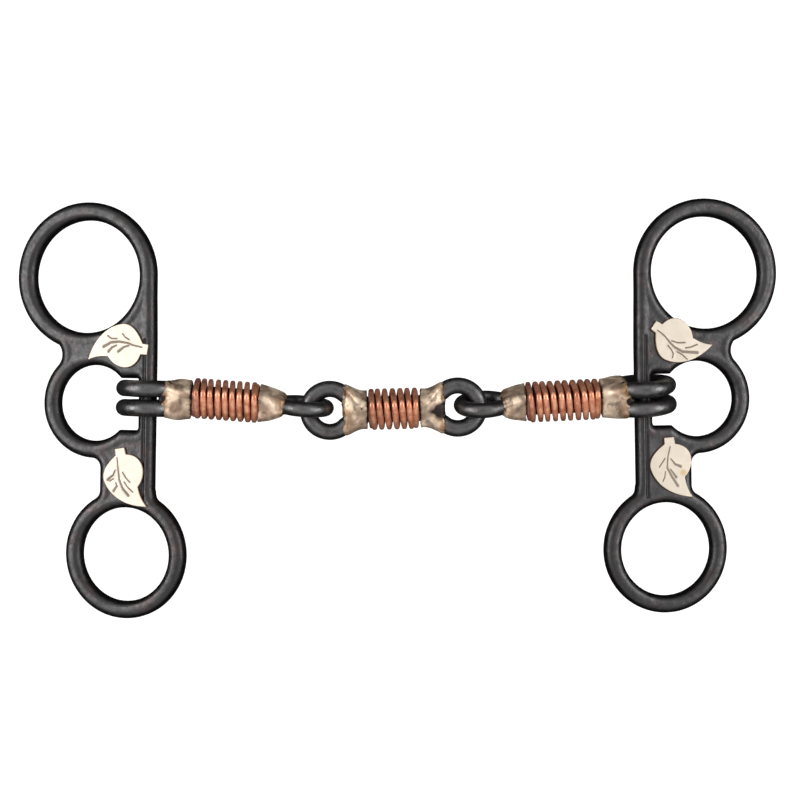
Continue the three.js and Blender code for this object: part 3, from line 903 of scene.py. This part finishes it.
class Look:
    """A material under construction, with short ways to add its nodes."""

    def __init__(self, name):
        self.material = bpy.data.materials.new(name)
        self.material.use_nodes = True
        self.tree = self.material.node_tree
        self.tree.nodes.clear()
        self.shader = self.add("ShaderNodeBsdfPrincipled")
        output = self.add("ShaderNodeOutputMaterial")
        self.tree.links.new(self.shader.outputs["BSDF"], output.inputs["Surface"])
        self.coords = self.add("ShaderNodeTexCoord").outputs["Object"]

    def add(self, kind):
        return self.tree.nodes.new(kind)

    def put(self, value, socket):
        """Sets a socket to a number or colour, or links another socket to it."""
        if isinstance(value, bpy.types.NodeSocket):
            self.tree.links.new(value, socket)
        else:
            socket.default_value = value

    def noise(self, size, detail=3.0, roughness=0.55, distortion=0.0):
        """Noise whose features are about size millimetres across."""
        node = self.add("ShaderNodeTexNoise")
        self.put(self.coords, node.inputs["Vector"])
        node.inputs["Scale"].default_value = 1 / (size * MM)
        node.inputs["Detail"].default_value = detail
        node.inputs["Roughness"].default_value = roughness
        node.inputs["Distortion"].default_value = distortion
        return node.outputs["Fac"]

    def mark(self, name):
        node = self.add("ShaderNodeAttribute")
        node.attribute_name = name
        return node.outputs["Fac"]

    def fit(self, value, low, high, to_low=0.0, to_high=1.0):
        node = self.add("ShaderNodeMapRange")
        self.put(value, node.inputs["Value"])
        node.inputs["From Min"].default_value = low
        node.inputs["From Max"].default_value = high
        node.inputs["To Min"].default_value = to_low
        node.inputs["To Max"].default_value = to_high
        return node.outputs["Result"]

    def math(self, operation, a, b=0.0):
        node = self.add("ShaderNodeMath")
        node.operation = operation
        self.put(a, node.inputs[0])
        self.put(b, node.inputs[1])
        return node.outputs[0]

    def mix(self, amount, a, b):
        node = self.add("ShaderNodeMix")
        node.data_type = "RGBA"
        self.put(amount, node.inputs[0])
        self.put(a, node.inputs[6])
        self.put(b, node.inputs[7])
        return node.outputs[2]

    def bump(self, height, distance, strength=1.0, under=None):
        node = self.add("ShaderNodeBump")
        self.put(height, node.inputs["Height"])
        node.inputs["Distance"].default_value = distance * MM
        node.inputs["Strength"].default_value = strength
        if under is not None:
            self.put(under, node.inputs["Normal"])
        return node.outputs["Normal"]

    def finish(self, color, roughness, metallic, normal, specular=0.5):
        self.put(color, self.shader.inputs["Base Color"])
        self.put(roughness, self.shader.inputs["Roughness"])
        self.put(metallic, self.shader.inputs["Metallic"])
        self.put(normal, self.shader.inputs["Normal"])
        self.shader.inputs["Specular IOR Level"].default_value = specular
        return self.material


def rgb(red, green, blue):
    """A colour from its everyday 0 to 255 values."""
    linear = []
    for value in (red, green, blue):
        c = value / 255
        linear.append(c / 12.92 if c <= 0.04045 else ((c + 0.055) / 1.055) ** 2.4)
    return (*linear, 1.0)


def iron_look(name, dark, light):
    look = Look(name)
    broad = look.noise(7, 4)
    color = look.mix(broad, dark, light)
    tint = look.fit(look.noise(4, 3, 0.6, 0.5), 0.5, 0.66)
    color = look.mix(look.math("MULTIPLY", tint, 0.4), color, rgb(92, 76, 76))
    blotch = look.fit(look.noise(1.8, 4, 0.65), 0.5, 0.72)
    color = look.mix(look.math("MULTIPLY", blotch, 0.5), color, rgb(46, 44, 44))
    # Painted shade: the rims, the hole walls and the crease along the post are darkened
    color = look.mix(look.math("MULTIPLY", look.mark("painted_shade"), 0.6), color, rgb(40, 38, 39))
    specks = look.fit(look.noise(0.45, 2, 0.7), 0.72, 0.8)
    color = look.mix(look.math("MULTIPLY", specks, 0.6), color, rgb(190, 186, 182))
    roughness = look.fit(look.noise(1.4, 4), 0.3, 0.7, 0.3, 0.48)
    normal = look.bump(look.noise(0.6, 4, 0.6), 0.05, 0.5)
    normal = look.bump(look.noise(3.0, 3), 0.3, 0.6, normal)
    return look.finish(color, roughness, 1.0, normal)


# The iron bar under the wire is near black: partly its own burnt colour, partly painted shade for the gaps between
# the turns
def burnt_shaded_core_look():
    look = Look("burnt_and_shaded_core")
    color = look.mix(look.noise(1.5, 3), rgb(24, 16, 15), rgb(52, 28, 24))
    normal = look.bump(look.noise(0.4, 3), 0.06, 0.6)
    return look.finish(color, look.fit(look.noise(1.0), 0.3, 0.7, 0.55, 0.8), 0.2, normal, 0.3)


def copper_look():
    look = Look("copper_wire")
    patch = look.fit(look.noise(1.6, 4, 0.6), 0.4, 0.62)
    color = look.mix(patch, rgb(240, 174, 140), rgb(206, 130, 98))
    stain = look.fit(look.noise(3.2, 3, 0.6, 0.4), 0.55, 0.7)
    color = look.mix(look.math("MULTIPLY", stain, 0.6), color, rgb(150, 90, 70))
    purple = look.fit(look.mark("turn"), 0.22, 0.04)
    color = look.mix(look.math("MULTIPLY", purple, 0.5), color, rgb(118, 78, 78))
    roughness = look.fit(look.noise(0.8, 4), 0.3, 0.7, 0.24, 0.42)
    normal = look.bump(look.noise(0.45, 3, 0.6), 0.03, 0.5)
    return look.finish(color, roughness, 0.75, normal)


def braze_look():
    look = Look("rough_braze")
    cream = look.fit(look.noise(3.4, 2, 0.4), 0.42, 0.6)
    color = look.mix(cream, rgb(168, 142, 122), rgb(234, 210, 184))
    grey = look.fit(look.noise(2.6, 3, 0.5, 0.4), 0.52, 0.64)
    color = look.mix(look.math("MULTIPLY", grey, 0.75), color, rgb(126, 110, 94))
    gold = look.math("MULTIPLY", look.mark("near_ring"), look.fit(look.noise(2.0, 3), 0.38, 0.54))
    color = look.mix(look.math("MULTIPLY", gold, 0.85), color, rgb(138, 98, 56))
    edge = look.math("MAXIMUM", look.mark("near_wire"), look.fit(look.mark("near_ring"), 0.85, 1.0))
    burnt = look.math("MULTIPLY", edge, look.fit(look.noise(0.7, 4, 0.65), 0.44, 0.56))
    burnt = look.math("MAXIMUM", burnt, look.fit(look.mark("burn"), 0.3, 0.6))
    color = look.mix(burnt, color, rgb(34, 24, 20))
    pits = look.fit(look.noise(0.9, 5, 0.7), 0.64, 0.72)
    color = look.mix(look.math("MULTIPLY", pits, 0.8), color, rgb(70, 52, 42))
    roughness = look.fit(look.noise(1.6, 3), 0.3, 0.7, 0.32, 0.52)
    normal = look.bump(look.noise(0.7, 3, 0.6), 0.03, 0.3)
    normal = look.bump(look.noise(2.6, 2), 0.1, 0.4, normal)
    return look.finish(color, roughness, 0.6, normal)


def silver_look():
    look = Look("engraved_silver")
    # Painted light and shade: lighter colours for the left leaves, darker for the right, for how each side's tilt
    # catches the lamps
    light = look.mix(look.noise(4, 3), rgb(224, 212, 197), rgb(216, 203, 188))
    shaded_side_color = look.mix(look.noise(3, 4), rgb(214, 202, 186), rgb(199, 187, 171))
    color = look.mix(look.mark("painted_side_shade"), light, shaded_side_color)
    color = look.mix(look.math("MULTIPLY", look.mark("stain"), 0.7), color, rgb(190, 156, 96))
    # Painted shade: a dark brown band along each leaf's edge
    color = look.mix(look.fit(look.mark("painted_rim_shade"), 0.55, 1.0), color, rgb(120, 90, 62))
    color = look.mix(look.fit(look.mark("cut"), 0.1, 0.6), color, rgb(134, 123, 110))
    roughness = look.fit(look.noise(1.2, 4), 0.3, 0.7, 0.36, 0.48)
    scratches = look.noise(0.35, 4, 0.7, 0.6)
    return look.finish(color, roughness, 0.35, look.bump(scratches, 0.015, 0.5))


def floor_look():
    """A pale floor that glows a little, so that shadows stay faint, and that metals see as dark."""
    look = Look("pale_floor")
    ray = look.add("ShaderNodeLightPath").outputs["Is Glossy Ray"]
    shader = look.shader
    look.put(look.mix(ray, rgb(240, 240, 240), rgb(30, 30, 30)), shader.inputs["Emission Color"])
    shader.inputs["Emission Strength"].default_value = 1.0
    color = look.mix(ray, rgb(160, 160, 160), rgb(20, 20, 20))
    return look.finish(color, 0.9, 0.0, look.bump(look.noise(40), 0.02, 0.1), 0.0)


# ---------- the bit ----------


def braze_shape(radius, rod, start, far, near_half, twist, tongue=0.0, scorched=False):
    """What a braze is lofted from.

    near_half and near_tall are half its width across the ring's plane and in it, where it meets the ring. The
    tongue is how far it runs on between two loops. A scorched braze is burnt black beside the ring's hole.
    """
    return {
        "rod": rod,
        "start": start,
        "far": far,
        "near_half": near_half,
        "near_tall": math.sqrt(radius**2 - min(start, 0.75 * radius) ** 2) + rod,
        "twist": math.radians(twist),
        "hole": radius - rod - 0.1,
        "tongue": tongue,
        "scorched": scorched,
    }


def twist_between(ring, bar):
    """The turn in degrees, at most an eighth, from a ring's plane to the nearest flat of its bar."""
    normal = ring.col[1].to_3d().normalized()
    along = ring.col[0].to_3d().normalized()
    flat = bar.col[1].to_3d().normalized()
    sine = along.dot(normal.cross(flat))
    angle = math.degrees(math.atan2(sine, normal.dot(flat)))
    return (angle + 45) % 90 - 45


def build_arm(name, side, iron, copper, braze, core):
    body = name + "_arm"
    core_node = body + "_core"
    length, _, roll = WINDINGS[body]
    place = bar_place(core_node, roll)
    build_core(body, place, core)
    build_winding(body, place, copper, 40 + side)
    middle = Vector(cad_vertices(core_node).mean(0))

    end_x = OUTER_BRAZE_START + TAIL_BURIED
    for loop, seed in (("_upper_loop", 50 + side), ("_lower_loop", 55 + side)):
        build_ring(body + loop, body, core_node, LOOP_RADIUS, LOOP_ROD, end_x, iron, seed)

    eye = body + "_eye"
    eye_place = ring_place(eye, core_node, EYE_RADIUS, EYE_ROD)
    far = (middle - eye_place.translation).length / MM - length / 2
    end_x = INNER_BRAZE_START + TAIL_BURIED
    build_ring(eye, body, core_node, EYE_RADIUS, EYE_ROD, end_x, iron, 60 + side)
    twist = twist_between(eye_place, place)
    shape = braze_shape(EYE_RADIUS, EYE_ROD, INNER_BRAZE_START, far, EYE_ROD, twist)
    build_braze(body + "_inner_braze", body, eye_place, shape, braze, 70 + side)

    loop_place = ring_place(body + "_upper_loop", core_node, LOOP_RADIUS, LOOP_ROD)
    other = ring_place(body + "_lower_loop", core_node, LOOP_RADIUS, LOOP_ROD)
    loop_place.translation = (loop_place.translation + other.translation) / 2
    far = (middle - loop_place.translation).length / MM - length / 2
    twist = twist_between(loop_place, place)
    near_half = LOOP_OFFSET + LOOP_ROD
    shape = braze_shape(LOOP_RADIUS, LOOP_ROD, OUTER_BRAZE_START, far, near_half, twist, tongue=1.0)
    build_braze(body + "_outer_braze", body, loop_place, shape, braze, 80 + side)


def build_dogbone(iron, copper, braze, core):
    length, _, roll = WINDINGS["dogbone"]
    place = bar_place("dogbone_core", roll)
    build_core("dogbone", place, core)
    build_winding("dogbone", place, copper, 45)
    middle = Vector(cad_vertices("dogbone_core").mean(0))
    for name, side in SIDES.items():
        node = f"dogbone_{name}_eye"
        ring = ring_place(node, "dogbone_core", DOGBONE_RADIUS, DOGBONE_ROD)
        far = (middle - ring.translation).length / MM - length / 2
        end_x = DOGBONE_BRAZE_START + TAIL_BURIED
        build_ring(node, "dogbone", "dogbone_core", DOGBONE_RADIUS, DOGBONE_ROD, end_x, iron, 90 + side)
        twist = twist_between(ring, place)
        start = DOGBONE_BRAZE_START
        scorched = name == "right"
        shape = braze_shape(DOGBONE_RADIUS, DOGBONE_ROD, start, far, DOGBONE_ROD, twist, scorched=scorched)
        build_braze(f"dogbone_{name}_braze", "dogbone", ring, shape, braze, 100 + side)


def build_bit():
    iron = iron_look("browned_iron", rgb(90, 90, 91), rgb(118, 117, 117))
    copper, braze, core = copper_look(), braze_look(), burnt_shaded_core_look()
    build_cheeks(iron_look("dark_browned_iron", rgb(60, 60, 61), rgb(80, 79, 79)))
    build_leaves(silver_look())
    build_dogbone(iron, copper, braze, core)
    for name, side in SIDES.items():
        build_arm(name, side, iron, copper, braze, core)


# ---------- studio ----------


def build_floor():
    mesh = bpy.data.meshes.new("floor")
    signs = [(-1, -1), (1, -1), (1, 1), (-1, 1)]
    corners = [(x * FLOOR_HALF_SIDE, y * FLOOR_HALF_SIDE, FLOOR_Z) for x, y in signs]
    mesh.from_pydata(corners, [], [(0, 1, 2, 3)])
    mesh.materials.append(floor_look())
    floor = bpy.data.objects.new("floor", mesh)
    bpy.context.scene.collection.objects.link(floor)


def add_lamp(side):
    x, y, z = LAMP_PLACE
    place = Vector((side * x, y, z))
    lamp = bpy.data.lights.new("side_lamp", "AREA")
    lamp.shape = "RECTANGLE"
    lamp.size, lamp.size_y = LAMP_SIZE
    lamp.energy = LAMP_POWER
    lamp_object = bpy.data.objects.new("side_lamp", lamp)
    lamp_object.location = place
    lamp_object.rotation_euler = (-place).to_track_quat("-Z", "Y").to_euler()
    bpy.context.scene.collection.objects.link(lamp_object)


def smooth_range(tree, value, low, high, to_low, to_high):
    node = tree.nodes.new("ShaderNodeMapRange")
    node.interpolation_type = "SMOOTHSTEP"
    node.inputs["From Min"].default_value = low
    node.inputs["From Max"].default_value = high
    node.inputs["To Min"].default_value = to_low
    node.inputs["To Max"].default_value = to_high
    tree.links.new(value, node.inputs["Value"])
    return node.outputs["Result"]


def build_sky():
    """Soft light from above, brightest partway up, dimmer straight overhead and dark toward the horizon."""
    world = bpy.data.worlds.new("studio")
    world.use_nodes = True
    tree = world.node_tree
    direction = tree.nodes.new("ShaderNodeTexCoord").outputs["Generated"]
    split = tree.nodes.new("ShaderNodeSeparateXYZ")
    tree.links.new(direction, split.inputs[0])
    up = split.outputs["Z"]
    strength = tree.nodes.new("ShaderNodeMath")
    strength.operation = "MULTIPLY"
    tree.links.new(smooth_range(tree, up, *SKY_RISE), strength.inputs[0])
    tree.links.new(smooth_range(tree, up, *SKY_TOP), strength.inputs[1])
    tree.links.new(strength.outputs[0], tree.nodes["Background"].inputs["Strength"])
    tree.nodes["Background"].inputs["Color"].default_value = (1, 1, 1, 1)
    bpy.context.scene.world = world


def build_studio():
    build_floor()
    build_sky()
    for side in SIDES.values():
        add_lamp(side)
    bpy.context.scene.view_settings.view_transform = "Standard"


def build_camera():
    camera = bpy.data.cameras.new("camera")
    camera.sensor_fit = "HORIZONTAL"
    camera.angle = CAMERA_ANGLE
    camera.clip_start = 0.01
    camera_object = bpy.data.objects.new("camera", camera)
    camera_object.location = (CAMERA_X, CAMERA_Y, CAMERA_HEIGHT)
    bpy.context.scene.collection.objects.link(camera_object)
    bpy.context.scene.camera = camera_object


build_bit()
build_studio()
build_camera()

bpy.context.view_layer.update()
